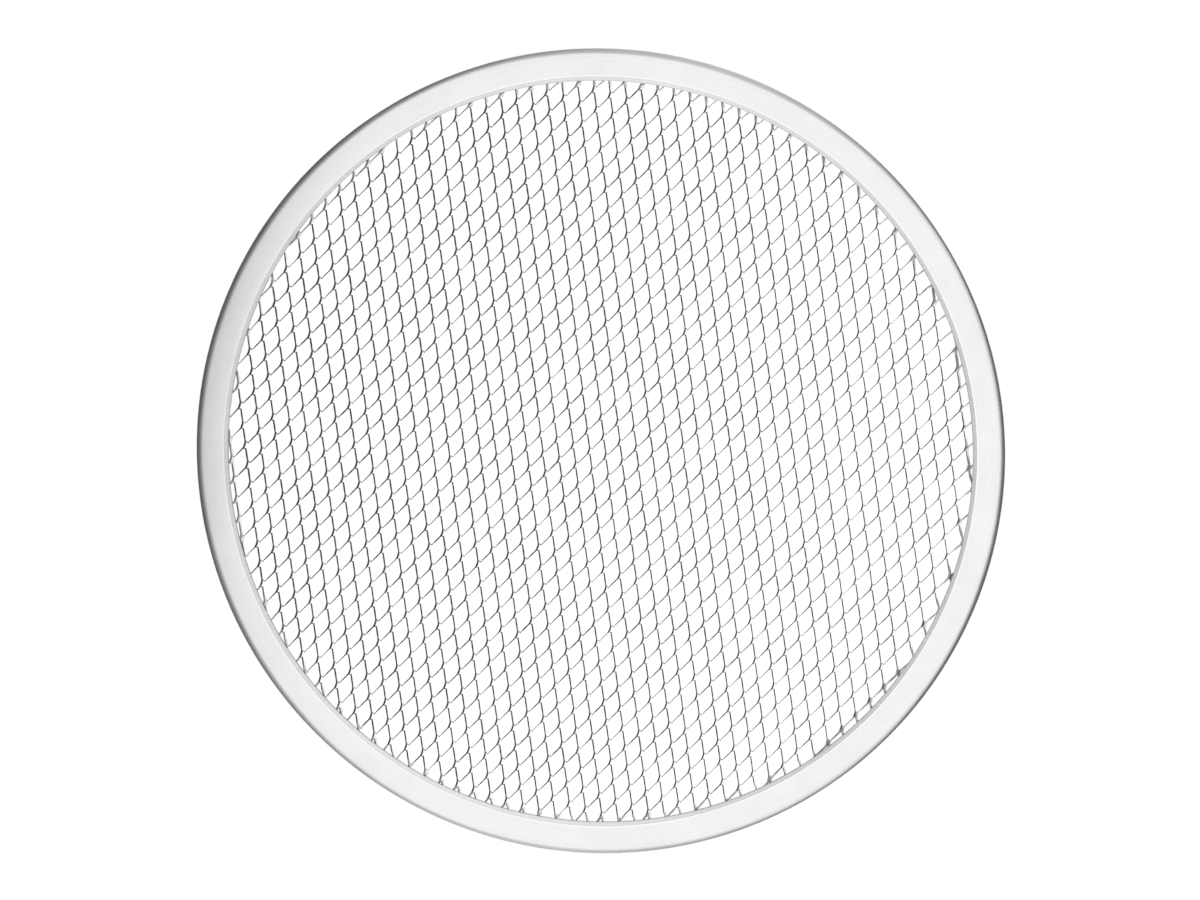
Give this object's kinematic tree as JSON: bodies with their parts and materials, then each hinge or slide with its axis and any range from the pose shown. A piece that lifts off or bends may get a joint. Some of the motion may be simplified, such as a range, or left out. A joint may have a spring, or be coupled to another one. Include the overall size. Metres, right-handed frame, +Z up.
{
  "type": "pizza screen",
  "caption": "Round flat baking screen: a disc of raised expanded aluminium mesh held in a folded aluminium rim.",
  "frame": {"origin": "centre of the screen, on the flat underside of the rim", "axes": "+Z up out of the upper face; +Y along the long way of the mesh openings"},
  "size_m": [0.305, 0.305, 0.0028],
  "materials": {
    "rim_aluminium": "satin",
    "mesh_aluminium": "bright"
  },
  "bodies": {
    "root": {"rim": "rim_aluminium", "mesh": "mesh_aluminium"}
  },
  "joints": []
}
